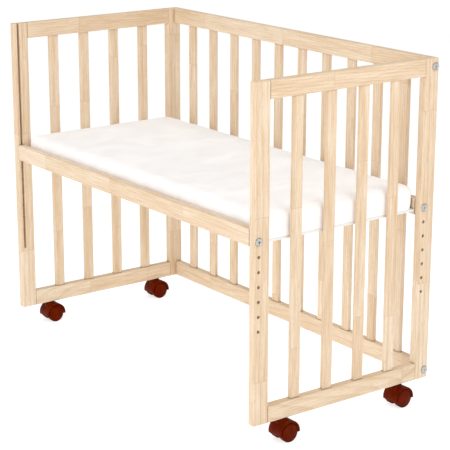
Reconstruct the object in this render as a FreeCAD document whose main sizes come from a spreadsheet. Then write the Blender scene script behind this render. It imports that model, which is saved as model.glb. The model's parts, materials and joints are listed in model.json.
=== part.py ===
import FreeCAD, Part
import math
import os
import re

import Sketcher

# Bedside sleeper crib: two slatted end panels, a slatted back panel, a base that bolts on
# at seven heights, a mattress and four twin-wheel castors. The side that stands against
# the adult bed is open above the base's front rail.
# The origin is on the floor under the middle of the crib. X runs along its length, Y from
# the open front (-) to the slatted back (+), and Z up.

# Driving sizes, in millimetres, degrees or counts.
SIZES = {
    # Timber frame
    "inner_length": 900.0,      # clear length between the end panels
    "crib_depth": 470.0,        # front face to back face
    "panel_height": 692.0,      # end and back panels, without castors
    "timber": 18.0,             # thickness of posts, panel rails and base rails
    "post_width": 36.0,
    "rail_height": 36.0,
    "edge_ease": 1.2,           # small flat along the timber's edges
    # Slats, tenoned into the rails
    "slat_width": 24.0,
    "slat_thick": 10.0,
    "slat_ease": 1.5,
    "slat_shoulder": 2.0,       # step from the slat's face to its tenon's
    "tenon_length": 12.0,
    "tenon_play": 0.1,          # mortise is this much wider, on each side
    "end_slats": 4,
    "end_gap": 60.4,            # post to the nearest slat, end panels
    "back_slats": 10,
    "back_gap": 56.4,           # post to the nearest slat, back panel
    # End rails, tenoned into the posts
    "rail_shoulder": 5.0,       # step from the rail's face to its tenon's
    "rail_tenon": 20.0,
    # Connector bolts
    "bolt_radius": 3.0,
    "bolt_length": 60.0,
    "bolt_head_radius": 8.2,
    "bolt_head_height": 2.6,
    "bolt_hex": 4.0,            # socket, across flats
    "bolt_hex_depth": 1.8,
    "bolt_bore": 3.6,           # radius of the holes in posts and rails
    "bolt_bore_depth": 44.0,    # in the rails' ends
    "head_seat": 0.1,           # head to post
    "end_room": 1.0,            # blind holes are this much deeper than what they hold
    # Row of holes for the base, up both end panels
    "front_column": 10.0,       # from the crib's front face to the front holes
    "back_column": 27.0,        # from the crib's back face to the back holes
    "top_row": 380.0,           # above the panels' lower edge
    "hole_pitch": 30.4,
    "hole_rows": 7,
    # Groove for a front barrier, in the front posts' inner faces
    "groove_width": 6.0,
    "groove_depth": 7.0,
    "groove_stop": 157.0,       # above the panels' lower edge
    "groove_cutter": 8.0,       # radius of the tool, which leaves the run-out
    # Base
    "base_rail_height": 35.0,
    "base_play": 0.5,           # base rails to posts and to the back panel
    "front_rail_drop": 10.7,    # front rail's underside below the bolts' axis
    "panel_thick": 5.0,
    "panel_play": 0.1,
    "panel_end_gap": 2.0,
    "front_rabbet": 9.0,
    "back_housing": 6.0,        # depth of the groove in the base's back rail
    "vent_radius": 13.0,
    "vent_columns": 5,
    "vent_rows": 2,
    "vent_spacing_long": 160.0,
    "vent_spacing_deep": 180.0,
    # Mattress
    "mattress_height": 50.0,    # at its edges
    "mattress_crown": 3.5,
    "mattress_play": 0.5,       # to the posts and the base rails
    "mattress_seat": 0.3,       # above the base panel
    "mattress_corner": 24.0,    # plan radius
    "mattress_edge": 9.0,       # soft rounding of the top and bottom edges
    "mattress_draw": 2.0,       # how far the sides pull in between the corners
    # Castors
    "castor_height": 50.0,
    "castor_inset": 79.5,       # swivel axis from the panel's front or back face
    "wheel_radius": 20.0,
    "wheel_trail": 5.0,         # axle behind the swivel axis
    "hub_height": 1.2,          # hub's disc stands out this far from the outer face
    "hub_radius": 8.0,
    "castor_width": 40.6,       # over the wheels' rims
    "web_width": 16.0,
    "wheel_gap": 0.4,           # wheel to web
    "axle_radius": 2.5,
    "axle_length": 36.0,
    "running_play": 0.05,       # radial, in every running fit
    "hood_radius": 25.5,
    "hood_shift": 1.0,          # hood's arc centre from the axle
    "hood_play": 1.0,           # wheel to hood
    "nose_drop": 2.5,           # hood's front lip below the axle
    "tail_drop": 5.0,           # hood's rear lip below the axle
    "web_hub": 9.0,             # half size of the web's block round the axle
    "boss_radius": 11.0,
    "stem_radius": 4.0,
    "stem_grip": 30.0,          # length up inside the socket
    "stem_reach": 17.0,         # length down inside the hood
    "stem_play": 0.05,          # stem to the rail's bore
    "boss_gap": 0.8,            # hood to the rail
}

# Places worked out from those sizes, as formulas of the sheet's names.
POST_X = "(inner_length + timber) / 2"
POST_Y = "(crib_depth - post_width) / 2"
END_RAIL_LENGTH = "(crib_depth - 2 * post_width)"
END_SLAT_PITCH = f"(({END_RAIL_LENGTH} - 2 * end_gap - slat_width) / (end_slats - 1))"
BACK_SLAT_PITCH = "((inner_length - 2 * back_gap - slat_width) / (back_slats - 1))"
BACK_Y = "(crib_depth - timber) / 2"
BOTTOM_RAIL_Z = "(castor_height + rail_height / 2)"
TOP_RAIL_Z = "(castor_height + panel_height - rail_height / 2)"
SLAT_HEIGHT = "(panel_height - 2 * rail_height)"
BOLT_Z = "(castor_height + top_row)"
BOLT_FRONT_Y = "(-crib_depth / 2 + front_column)"
BOLT_BACK_Y = "(crib_depth / 2 - back_column)"
BASE_RAIL_LENGTH = "(inner_length - 2 * base_play)"
FRONT_RAIL_Y = "(-(crib_depth - timber) / 2)"
BACK_RAIL_Y = "(crib_depth / 2 - 1.5 * timber - base_play)"
PANEL_Z = f"({BOLT_Z} - front_rail_drop)"
FRONT_RAIL_Z = f"({PANEL_Z} + base_rail_height / 2)"
RABBET_FRONT_Y = "(-crib_depth / 2 + timber - front_rabbet)"
HOUSING_BACK_Y = f"({BACK_RAIL_Y} - timber / 2 + back_housing - panel_play)"
CASTOR_Y = "(crib_depth / 2 - castor_inset)"
WHEEL_INNER_X = "(web_width / 2 + wheel_gap)"
STEM_HOLE_DEPTH = "(stem_grip + end_room)"

SIDES = (("left", -1), ("right", 1))
DEPTHS = (("front", -1), ("back", 1))

doc = FreeCAD.newDocument("bedside_crib")
sheet = doc.addObject("Spreadsheet::Sheet", "Sizes")
for row, (alias, number) in enumerate(SIZES.items(), start=1):
    sheet.set(f"A{row}", str(number))
    sheet.setAlias(f"A{row}", alias)
doc.recompute()

pieces = []


def size(alias):
    """A size of the sheet, as a number."""
    return float(getattr(sheet, alias))


def cells(formula):
    """The formula with each size name read from the sheet."""
    return re.sub(r"\b(?!sqrt)[a-z][a-z_]+", lambda word: "Sizes." + word.group(), str(formula))


def bind(thing, sizes):
    """Tie properties of a thing to formulas."""
    for path, formula in sizes.items():
        thing.setExpression(path, cells(formula))
    return thing


def place(thing, across=0, along=0, up=0):
    """Tie the place of a thing to formulas for X, Y and Z."""
    return bind(thing, {
        "Placement.Base.x": across,
        "Placement.Base.y": along,
        "Placement.Base.z": up,
    })


def turn(thing, axis, degrees):
    """Turn a thing about an axis through its own origin."""
    thing.Placement = FreeCAD.Placement(FreeCAD.Vector(), FreeCAD.Rotation(axis, degrees))
    return thing


def keep(thing):
    """Count a thing as a finished piece of the crib."""
    pieces.append(thing)
    return thing


# Sketches and the features made from them


def new_body(name):
    return doc.addObject("PartDesign::Body", name)


def origin_feature(body, role):
    return next(item for item in body.Origin.OriginFeatures if item.Role == role)


def new_sketch(body, role, offset=0):
    """A sketch on the body's XY, XZ or YZ plane, moved along +Z, +Y or +X by the offset."""
    sketch = body.newObject("Sketcher::SketchObject", body.Name + "_sketch")
    sketch.AttachmentSupport = [(origin_feature(body, role), "")]
    sketch.MapMode = "FlatFace"
    lift = f"-({offset})" if role == "XZ_Plane" else offset
    return bind(sketch, {"AttachmentOffset.Base.z": lift})


def fix_point(sketch, edge, point, across, up):
    """Tie a point of a sketch to formulas for its two coordinates."""
    for kind, formula in (("DistanceX", across), ("DistanceY", up)):
        index = sketch.addConstraint(Sketcher.Constraint(kind, edge, point, 1.0))
        bind(sketch, {f"Constraints[{index}]": formula})


def draw_outline(sketch, corners):
    """A closed outline of straight lines through corners, each a pair of formulas."""
    count = len(corners)
    angles = [2 * math.pi * index / count for index in range(count)]
    ring = [FreeCAD.Vector(math.cos(angle), math.sin(angle)) for angle in angles]
    edges = []
    for index in range(count):
        line = Part.LineSegment(ring[index], ring[(index + 1) % count])
        edges.append(sketch.addGeometry(line))
    for index, edge in enumerate(edges):
        following = edges[(index + 1) % count]
        sketch.addConstraint(Sketcher.Constraint("Coincident", edge, 2, following, 1))
    for edge, (across, up) in zip(edges, corners):
        fix_point(sketch, edge, 1, across, up)
    return sketch


def draw_rectangle(sketch, across, up, width, height):
    """A rectangle round the middle (across, up)."""
    left, right = f"{across} - {width} / 2", f"{across} + {width} / 2"
    low, high = f"{up} - {height} / 2", f"{up} + {height} / 2"
    return draw_outline(sketch, [(left, low), (right, low), (right, high), (left, high)])


def draw_circle(sketch, across, up, radius):
    circle = Part.Circle(FreeCAD.Vector(), FreeCAD.Vector(0, 0, 1), 1.0)
    edge = sketch.addGeometry(circle)
    fix_point(sketch, edge, 3, across, up)
    index = sketch.addConstraint(Sketcher.Constraint("Radius", edge, 1.0))
    bind(sketch, {f"Constraints[{index}]": radius})
    return sketch


def add_feature(body, kind, sketch, sizes):
    feature = body.newObject("PartDesign::" + kind, body.Name + "_" + kind.lower())
    feature.Profile = sketch
    body.Tip = feature
    return bind(feature, sizes)


def pad(body, sketch, length):
    """Fill the sketch half the length to each side of its plane."""
    feature = add_feature(body, "Pad", sketch, {"Length": length})
    feature.SideType = "Symmetric"
    return feature


def pocket(body, sketch, length):
    """Cut the sketch half the length to each side of its plane."""
    feature = add_feature(body, "Pocket", sketch, {"Length": length})
    feature.SideType = "Symmetric"
    return feature


def revolve(body, sketch, axis):
    """Turn the sketch a full turn about its own H_Axis or V_Axis."""
    feature = add_feature(body, "Revolution", sketch, {})
    feature.ReferenceAxis = (sketch, [axis])
    feature.Angle = 360
    return feature


def repeat(body, feature, role, pitch, count):
    """Repeat a cut along an axis of the body, at a pitch between neighbours."""
    pattern = body.newObject("PartDesign::LinearPattern", body.Name + "_row")
    pattern.Originals = [feature]
    pattern.Direction = (origin_feature(body, role), [""])
    bind(pattern, {"Length": f"({count} - 1) * {pitch}", "Occurrences": count})
    body.Tip = pattern
    return pattern


def ease_edges(body, ease, wanted):
    """Cut a small flat along the edges of the body's last feature that the test picks."""
    doc.recompute()
    base = body.Tip
    names = [f"Edge{number}" for number, edge in enumerate(base.Shape.Edges, start=1) if wanted(edge)]
    flats = body.newObject("PartDesign::Chamfer", body.Name + "_ease")
    flats.Base = (base, names)
    body.Tip = flats
    return bind(flats, {"Size": ease})


def runs_along(axis):
    """A test for straight edges that run along an axis."""

    def test(edge):
        if not isinstance(edge.Curve, Part.Line):
            return False
        return edge.Curve.Direction.cross(axis).Length < 1e-6

    return test


def group(name, members):
    """Separate solids of one kind, kept together as one piece of the list."""
    bundle = doc.addObject("Part::Compound", name)
    bundle.Links = members
    return keep(bundle)


def cylinder(name, radius, length, axis=None):
    """A cylinder that starts at its own origin and runs along Z or the given axis."""
    solid = doc.addObject("Part::Cylinder", name)
    if axis is not None:
        solid.Placement.Rotation = FreeCAD.Rotation(FreeCAD.Vector(0, 0, 1), axis)
    return bind(solid, {"Radius": radius, "Height": length})


X_AXIS = FreeCAD.Vector(1, 0, 0)
Y_AXIS = FreeCAD.Vector(0, 1, 0)
Z_AXIS = FreeCAD.Vector(0, 0, 1)


# End panels


def cut_rail_mortises(body, depth):
    """The two mortises that take the end rails' tenons, in the post's inward edge."""
    play = "2 * tenon_play"
    middle = f"{-depth} * (post_width - rail_tenon - end_room) / 2"
    sketch = new_sketch(body, "XZ_Plane", middle)
    for height in ("rail_height / 2", "panel_height - rail_height / 2"):
        draw_rectangle(sketch, 0, height, f"(timber - 2 * rail_shoulder + {play})",
                       f"(rail_height - 2 * rail_shoulder + {play})")
    pocket(body, sketch, "(rail_tenon + end_room)")


def cut_barrier_groove(body, side, column):
    """Groove for a front barrier, open at the top, with the cutter's run-out at its foot."""
    middle = f"{-side} * (timber - groove_depth) / 2"
    height = "(panel_height - groove_stop + end_room)"
    slot = new_sketch(body, "XZ_Plane", column)
    draw_rectangle(slot, middle, f"groove_stop + {height} / 2", "groove_depth", height)
    pocket(body, slot, "groove_width")
    run_out_x = f"{-side} * (timber / 2 - groove_depth + groove_cutter)"
    run_out = draw_circle(new_sketch(body, "XZ_Plane", column), run_out_x, "groove_stop", "groove_cutter")
    pocket(body, run_out, "groove_width")


def make_post(name, side, depth):
    """Post with its hole column; front ones are grooved, back ones take the panel bolts."""
    body = new_body(name)
    section = draw_rectangle(new_sketch(body, "XY_Plane", "panel_height / 2"), 0, 0, "timber", "post_width")
    pad(body, section, "panel_height")
    ease_edges(body, "edge_ease", lambda edge: True)

    column = "(-post_width / 2 + front_column)" if depth < 0 else "(post_width / 2 - back_column)"
    lowest = "(top_row - (hole_rows - 1) * hole_pitch)"
    hole = draw_circle(new_sketch(body, "YZ_Plane"), column, lowest, "bolt_bore")
    repeat(body, pocket(body, hole, "2 * timber"), "Z_Axis", "hole_pitch", "hole_rows")
    cut_rail_mortises(body, depth)
    if depth < 0:
        cut_barrier_groove(body, side, column)
    else:
        bolts = new_sketch(body, "YZ_Plane")
        for height in ("rail_height / 2", "panel_height - rail_height / 2"):
            draw_circle(bolts, "(post_width - timber) / 2", height, "bolt_bore")
        pocket(body, bolts, "2 * timber")
    place(body, f"{side} * {POST_X}", f"{depth} * {POST_Y}", "castor_height")
    return keep(body)


def cut_mortises(body, face, along, pitch, count):
    """A row of mortises in the face (1 top, -1 underside) of a rail along X or Y."""
    wide = "(slat_width - 2 * slat_shoulder + 2 * tenon_play)"
    thin = "(slat_thick - 2 * slat_shoulder + 2 * tenon_play)"
    first = f"(-({count} - 1) * {pitch} / 2)"
    sketch = new_sketch(body, "XY_Plane", f"{face} * (rail_height - tenon_length) / 2")
    if along == "X_Axis":
        draw_rectangle(sketch, first, 0, wide, thin)
    else:
        draw_rectangle(sketch, 0, first, thin, wide)
    repeat(body, pocket(body, sketch, "tenon_length"), along, pitch, count)


def make_end_rail(name, side, height, mortise_face):
    """Tenoned rail of an end panel; the lower one is bored for the castors' stems."""
    body = new_body(name)
    section = draw_rectangle(new_sketch(body, "XZ_Plane"), 0, 0, "timber", "rail_height")
    pad(body, section, END_RAIL_LENGTH)
    ease_edges(body, "edge_ease", runs_along(Y_AXIS))
    tenons = new_sketch(body, "XZ_Plane")
    draw_rectangle(tenons, 0, 0, "(timber - 2 * rail_shoulder)", "(rail_height - 2 * rail_shoulder)")
    pad(body, tenons, f"({END_RAIL_LENGTH} + 2 * rail_tenon)")
    cut_mortises(body, mortise_face, "Y_Axis", END_SLAT_PITCH, "end_slats")
    if mortise_face > 0:
        stems = new_sketch(body, "XY_Plane", f"(-rail_height + {STEM_HOLE_DEPTH}) / 2")
        for end in (-1, 1):
            draw_circle(stems, 0, f"{end} * {CASTOR_Y}", "stem_radius + stem_play")
        pocket(body, stems, STEM_HOLE_DEPTH)
    place(body, f"{side} * {POST_X}", 0, height)
    return keep(body)


def make_slat(name, across, along, quarter_turn):
    """Slat with eased long edges and a shouldered tenon at each end."""
    body = new_body(name)
    width, thick = ("slat_thick", "slat_width") if quarter_turn else ("slat_width", "slat_thick")
    pad(body, draw_rectangle(new_sketch(body, "XY_Plane"), 0, 0, width, thick), SLAT_HEIGHT)
    ease_edges(body, "slat_ease", runs_along(Z_AXIS))
    tenon = new_sketch(body, "XY_Plane")
    draw_rectangle(tenon, 0, 0, f"({width} - 2 * slat_shoulder)", f"({thick} - 2 * slat_shoulder)")
    pad(body, tenon, f"{SLAT_HEIGHT} + 2 * tenon_length")
    place(body, across, along, "(castor_height + panel_height / 2)")
    return keep(body)


for side_name, side in SIDES:
    for depth_name, depth in DEPTHS:
        make_post(f"{side_name}_{depth_name}_post", side, depth)
    make_end_rail(f"{side_name}_top_rail", side, TOP_RAIL_Z, -1)
    make_end_rail(f"{side_name}_bottom_rail", side, BOTTOM_RAIL_Z, 1)
    for number in range(int(size("end_slats"))):
        step = f"({number} - (end_slats - 1) / 2) * {END_SLAT_PITCH}"
        make_slat(f"{side_name}_slat_{number + 1}", f"{side} * {POST_X}", step, True)


# Back panel


def make_bored_rail(name, length, height, bolt_along, bolt_up):
    """Rail along X, bored at both ends for a bolt."""
    body = new_body(name)
    pad(body, draw_rectangle(new_sketch(body, "YZ_Plane"), 0, 0, "timber", height), length)
    ease_edges(body, "edge_ease", runs_along(X_AXIS))
    for end in (-1, 1):
        bore = new_sketch(body, "YZ_Plane", f"{end} * ({length} - bolt_bore_depth) / 2")
        draw_circle(bore, bolt_along, bolt_up, "bolt_bore")
        pocket(body, bore, "bolt_bore_depth")
    return body


def make_back_rail(name, height, mortise_face):
    """Rail of the back panel, with its mortises and bolt bores."""
    body = make_bored_rail(name, "inner_length", "rail_height", 0, 0)
    cut_mortises(body, mortise_face, "X_Axis", BACK_SLAT_PITCH, "back_slats")
    place(body, 0, BACK_Y, height)
    return keep(body)


make_back_rail("back_top_rail", TOP_RAIL_Z, -1)
make_back_rail("back_bottom_rail", BOTTOM_RAIL_Z, 1)
for number in range(int(size("back_slats"))):
    step = f"({number} - (back_slats - 1) / 2) * {BACK_SLAT_PITCH}"
    make_slat(f"back_slat_{number + 1:02d}", step, BACK_Y, False)


# Bolts


def make_bolt(name, side, along, up):
    """Connector bolt along X, its wide low head on a post's outer face."""
    body = new_body(name)
    top = "(head_seat + bolt_head_height)"
    profile = draw_outline(new_sketch(body, "XZ_Plane"), [
        ("-bolt_length", 0),
        ("-bolt_length", "bolt_radius"),
        ("head_seat", "bolt_radius"),
        ("head_seat", "bolt_head_radius"),
        (top, "bolt_head_radius"),
        (top, 0),
    ])
    revolve(body, profile, "H_Axis")
    reach = "(bolt_hex / sqrt(3))"
    socket = new_sketch(body, "YZ_Plane", f"{top} - bolt_hex_depth / 2")
    angles = [math.radians(60 * corner) for corner in range(6)]
    hexagon = [(f"{math.cos(angle):.6f} * {reach}", f"{math.sin(angle):.6f} * {reach}") for angle in angles]
    draw_outline(socket, hexagon)
    pocket(body, socket, "bolt_hex_depth")
    if side < 0:
        turn(body, Z_AXIS, 180)
    return place(body, f"{side} * (inner_length / 2 + timber)", along, up)


panel_bolts = []
for side_name, side in SIDES:
    for level, up in (("low", BOTTOM_RAIL_Z), ("high", TOP_RAIL_Z)):
        panel_bolts.append(make_bolt(f"panel_bolt_{side_name}_{level}", side, BACK_Y, up))
group("back_panel_bolts", panel_bolts)


# Base


def make_base_front_rail():
    """Front rail, flush with the posts' front faces, rabbeted for the panel's front edge."""
    body = make_bored_rail("base_front_rail", BASE_RAIL_LENGTH, "base_rail_height",
                           f"{BOLT_FRONT_Y} - {FRONT_RAIL_Y}", f"{BOLT_Z} - {FRONT_RAIL_Z}")
    rabbet = new_sketch(body, "YZ_Plane")
    draw_rectangle(rabbet, "(timber - front_rabbet) / 2", "(panel_thick - base_rail_height) / 2",
                   "front_rabbet", "panel_thick")
    pocket(body, rabbet, "inner_length")
    place(body, 0, FRONT_RAIL_Y, FRONT_RAIL_Z)
    return keep(body)


def make_base_back_rail():
    """Back rail, with the closed groove that houses the panel's back edge."""
    body = make_bored_rail("base_back_rail", BASE_RAIL_LENGTH, "base_rail_height",
                           f"{BOLT_BACK_Y} - {BACK_RAIL_Y}", 0)
    groove = new_sketch(body, "YZ_Plane")
    draw_rectangle(groove, "(back_housing - timber) / 2", f"({PANEL_Z} + panel_thick / 2 - {BOLT_Z})",
                   "back_housing", "(panel_thick + 2 * panel_play)")
    pocket(body, groove, "inner_length")
    place(body, 0, BACK_RAIL_Y, BOLT_Z)
    return keep(body)


def make_base_panel():
    """Thin white panel under the mattress, with rows of ventilation holes."""
    body = new_body("base_panel")
    width = f"({HOUSING_BACK_Y} - {RABBET_FRONT_Y})"
    length = "(inner_length - 2 * panel_end_gap)"
    pad(body, draw_rectangle(new_sketch(body, "XY_Plane"), 0, 0, length, width), "panel_thick")
    middle = f"({HOUSING_BACK_Y} + {RABBET_FRONT_Y}) / 2"
    holes = new_sketch(body, "XY_Plane")
    for row in range(int(size("vent_rows"))):
        along = f"({row} - (vent_rows - 1) / 2) * vent_spacing_deep"
        draw_circle(holes, "-(vent_columns - 1) * vent_spacing_long / 2", along, "vent_radius")
    repeat(body, pocket(body, holes, "2 * panel_thick"), "X_Axis", "vent_spacing_long", "vent_columns")
    place(body, 0, middle, f"{PANEL_Z} + panel_thick / 2")
    return keep(body)


make_base_front_rail()
make_base_back_rail()
make_base_panel()
base_bolts = []
for side_name, side in SIDES:
    for depth_name, along in (("front", BOLT_FRONT_Y), ("back", BOLT_BACK_Y)):
        base_bolts.append(make_bolt(f"base_bolt_{side_name}_{depth_name}", side, along, BOLT_Z))
group("base_bolts", base_bolts)


# Mattress


def mattress_section(inset, height):
    """Rounded outline at a height: its corners stand full and its sides pull in."""
    half_x = size("inner_length") / 2 - size("mattress_play") - inset
    front = -size("crib_depth") / 2 + size("timber") + size("mattress_play") + inset
    back = size("crib_depth") / 2 - 2 * size("timber") - size("base_play") - size("mattress_play") - inset
    corner = size("mattress_corner") - min(inset, size("mattress_corner") / 2)
    draw = size("mattress_draw")
    diagonal = corner * (1 - math.sqrt(0.5))
    middle = (front + back) / 2

    def arc(*points):
        return Part.Arc(*(FreeCAD.Vector(x, y, height) for x, y in points)).toShape()

    edges = []
    for spin_x, spin_y in ((1, 1), (-1, 1), (-1, -1), (1, -1)):
        edge_x = spin_x * half_x
        edge_y = back if spin_y > 0 else front
        inner_x, inner_y = edge_x - spin_x * corner, edge_y - spin_y * corner
        turn_points = [(edge_x, inner_y), (edge_x - spin_x * diagonal, edge_y - spin_y * diagonal),
                       (inner_x, edge_y)]
        if spin_x == spin_y:
            side_points = [(inner_x, edge_y), (0, edge_y - spin_y * draw), (-inner_x, edge_y)]
        else:
            turn_points.reverse()
            other_y = front + corner if spin_y > 0 else back - corner
            side_points = [(edge_x, inner_y), (edge_x - spin_x * draw, middle), (edge_x, other_y)]
        edges += [arc(*turn_points), arc(*side_points)]
    return Part.Wire(edges)


def make_mattress():
    """Mattress with a crowned top, drawn-in sides and rounded edges, lofted through sections."""
    lowest = size("castor_height") + size("top_row") - size("front_rail_drop")
    lowest += size("panel_thick") + size("mattress_seat")
    edge, crown, soft = size("mattress_height"), size("mattress_crown"), size("mattress_edge")
    # Each section's inset from the full outline and its height above the underside
    stations = (
        (soft, 0),
        (soft / 3, soft / 3),
        (0, soft),
        (0, edge - soft),
        (soft / 3, edge - soft / 3),
        (soft, edge),
        (6 * soft, edge + 0.75 * crown),
        (15 * soft, edge + crown),
    )
    sections = [mattress_section(inset, lowest + height) for inset, height in stations]
    feature = doc.addObject("Part::Feature", "mattress")
    feature.Shape = Part.makeLoft(sections, True, True)
    keep(feature)


make_mattress()


# Castors: a stem in the rail, a hood that swivels on it, and two wheels on an axle


def make_hood(name, across, along):
    """Arched hood over both wheels, with a web between them and a boss for the stem."""
    body = new_body(name)
    arc_y = "(wheel_trail + hood_shift)"
    pad(body, draw_circle(new_sketch(body, "YZ_Plane"), arc_y, "wheel_radius", "hood_radius"), "castor_width")
    boss_end = "(castor_height - boss_gap)"
    boss_height = f"({boss_end} - wheel_radius)"
    boss = new_sketch(body, "XY_Plane", f"{boss_end} - {boss_height} / 2")
    pad(body, draw_circle(boss, 0, 0, "boss_radius"), boss_height)

    bay = "(castor_width - web_width)"
    for end in (-1, 1):
        sketch = new_sketch(body, "YZ_Plane", f"{end} * (web_width + {bay}) / 2")
        draw_circle(sketch, "wheel_trail", "wheel_radius", "wheel_radius + hood_play")
        pocket(body, sketch, bay)

    nose, tail = "(wheel_radius - nose_drop)", "(wheel_radius - tail_drop)"
    under = "(wheel_radius - web_hub)"
    block_front, block_back = "(wheel_trail - web_hub)", "(wheel_trail + web_hub)"
    far = "2 * hood_radius"
    below = draw_outline(new_sketch(body, "YZ_Plane"), [
        (f"-{far}", tail), (block_front, tail), (block_front, under),
        (block_back, under), (block_back, nose), (far, nose),
        (far, "-wheel_radius"), (f"-{far}", "-wheel_radius"),
    ])
    pocket(body, below, "2 * castor_width")

    bore_depth = "(stem_reach + 2 * end_room)"
    bore = new_sketch(body, "XY_Plane", f"{boss_end} - stem_reach / 2")
    pocket(body, draw_circle(bore, 0, 0, "stem_radius + running_play"), bore_depth)
    axle = draw_circle(new_sketch(body, "YZ_Plane"), "wheel_trail", "wheel_radius", "axle_radius")
    pocket(body, axle, "castor_width")
    place(body, across, along)
    return keep(body)


def make_wheel(name, side, across, along):
    """Wheel with a low hub disc on its outer face and a blind bore for the axle."""
    body = new_body(name)
    rim_x = "castor_width / 2"
    bore_end = "((axle_length + end_room) / 2)"
    bore_radius = "(axle_radius + running_play)"
    profile = draw_outline(new_sketch(body, "XZ_Plane"), [
        (bore_end, 0), (bore_end, bore_radius), (WHEEL_INNER_X, bore_radius),
        (WHEEL_INNER_X, "wheel_radius"), (rim_x, "wheel_radius"), (rim_x, "hub_radius"),
        (f"{rim_x} + hub_height", "hub_radius"), (f"{rim_x} + hub_height", 0),
    ])
    revolve(body, profile, "H_Axis")
    if side < 0:
        turn(body, Z_AXIS, 180)
    place(body, across, f"{along} + wheel_trail", "wheel_radius")
    return keep(body)


def make_axle(name, across, along):
    """Axle pressed through the hood's web."""
    axle = cylinder(name, "axle_radius", "axle_length", X_AXIS)
    place(axle, f"{across} - axle_length / 2", f"{along} + wheel_trail", "wheel_radius")
    return keep(axle)


def make_stem(name, across, along):
    """Steel stem, up in the rail and down in the hood."""
    stem = cylinder(name, "stem_radius", "stem_reach + stem_grip")
    return place(stem, across, along, "castor_height - stem_reach")


stems = []
for side_name, side in SIDES:
    for depth_name, depth in DEPTHS:
        corner = f"{depth_name}_{side_name}"
        across, along = f"{side} * {POST_X}", f"{depth} * {CASTOR_Y}"
        make_hood(f"{corner}_castor_hood", across, along)
        make_axle(f"{corner}_castor_axle", across, along)
        make_wheel(f"{corner}_outer_wheel", side, across, along)
        make_wheel(f"{corner}_inner_wheel", -side, across, along)
        stems.append(make_stem(f"stem_{corner}", across, along))
group("castor_stems", stems)


# Checks, then one file for each piece

doc.recompute()
for thing in doc.Objects:
    if "Invalid" in thing.State or "Error" in thing.State:
        raise RuntimeError(f"{thing.Name} failed: {thing.State}")
for piece in pieces:
    if piece.Shape.isNull() or not piece.Shape.isValid() or not piece.Shape.Solids:
        raise RuntimeError(f"{piece.Name} has no valid solid")

os.makedirs("parts", exist_ok=True)
for piece in pieces:
    piece.Label = piece.Name
    piece.Shape.exportStep(os.path.join("parts", piece.Label + ".step"))
    print(f"{piece.Label}: {len(piece.Shape.Solids)} solid(s), {piece.Shape.Volume:.0f} mm3")
print(len(pieces), "pieces")
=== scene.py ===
"""Bedside sleeper crib: finishes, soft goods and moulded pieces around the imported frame."""

import json
import logging
import math
import random
from dataclasses import dataclass, field
from enum import Enum
from typing import Any

import bmesh
import bpy
from bmesh.types import BMEdge, BMesh, BMFace, BMVert
from bpy.types import Material, Node, NodeSocket, NodeTree, Object
from mathutils import Matrix, Vector


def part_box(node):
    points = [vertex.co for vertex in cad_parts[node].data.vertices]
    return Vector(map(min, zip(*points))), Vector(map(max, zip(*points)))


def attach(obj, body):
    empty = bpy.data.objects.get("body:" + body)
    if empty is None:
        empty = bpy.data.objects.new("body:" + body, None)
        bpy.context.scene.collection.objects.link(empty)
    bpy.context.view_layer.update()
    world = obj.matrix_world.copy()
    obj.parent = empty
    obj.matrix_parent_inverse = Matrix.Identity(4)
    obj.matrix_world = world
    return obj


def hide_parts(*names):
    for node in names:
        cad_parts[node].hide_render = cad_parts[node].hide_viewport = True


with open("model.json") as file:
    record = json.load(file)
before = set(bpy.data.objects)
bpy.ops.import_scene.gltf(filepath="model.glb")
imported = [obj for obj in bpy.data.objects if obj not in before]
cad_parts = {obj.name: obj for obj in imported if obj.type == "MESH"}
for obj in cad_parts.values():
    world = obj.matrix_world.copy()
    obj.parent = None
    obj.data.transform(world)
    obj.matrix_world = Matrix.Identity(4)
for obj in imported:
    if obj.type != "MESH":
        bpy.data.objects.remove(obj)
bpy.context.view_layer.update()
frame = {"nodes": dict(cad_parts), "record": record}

log = logging.getLogger("crib")

MM = 0.001
WELD = 0.005 * MM          # points nearer to each other than this become one
ON_PLANE = 1e-6            # in metres; a point nearer to a plane than this lies on it
FINE_RELIEF = 0.05 * MM    # the depth of pores, of orange peel and of a weave's threads

# Places in the CAD that no node's box gives, in metres
STEM_Y = 0.1555
BASE_BOLT_Y = (-0.225, 0.208)
BASE_BOLT_Z = 0.430

# Sockets whose names repeat: the ends of a Map Range, and the sides and result of a colour Mix
IN_LOW, IN_HIGH, OUT_LOW, OUT_HIGH = 1, 2, 3, 4
SIDE_A, SIDE_B, MIXED = 6, 7, 2


# ---- Small helpers -----------------------------------------------------------------------------


def linear(colour: str) -> tuple[float, float, float, float]:
    """Turns an sRGB hex colour to linear RGBA.

    Args:
        colour: The colour as "#RRGGBB".

    Returns:
        Linear red, green, blue and an alpha of 1.
    """
    channels = [int(colour[place:place + 2], 16) / 255 for place in (1, 3, 5)]
    bent = [c / 12.92 if c <= 0.04045 else ((c + 0.055) / 1.055) ** 2.4 for c in channels]
    return (bent[0], bent[1], bent[2], 1.0)


def add_node(tree: NodeTree, kind: str, inputs: dict[Any, Any] | None = None, **settings: Any) -> Node:
    """Adds a shader node, sets it up and links it.

    Args:
        tree: The node tree to add to.
        kind: The node's type without its "ShaderNode" start.
        inputs: Input names or numbers, each with a value or with a socket to link.
        **settings: Properties of the node itself.

    Returns:
        The new node.
    """
    node = tree.nodes.new("ShaderNode" + kind)
    for name, value in settings.items():
        setattr(node, name, value)
    for key, value in (inputs or {}).items():
        if isinstance(value, NodeSocket):
            tree.links.new(value, node.inputs[key])
        else:
            node.inputs[key].default_value = value
    return node


def start_material(name: str) -> tuple[Material, NodeTree]:
    """Makes an empty node material and returns it with its tree."""
    material = bpy.data.materials.new(name)
    material.use_nodes = True
    material.node_tree.nodes.clear()
    return material, material.node_tree


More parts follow.
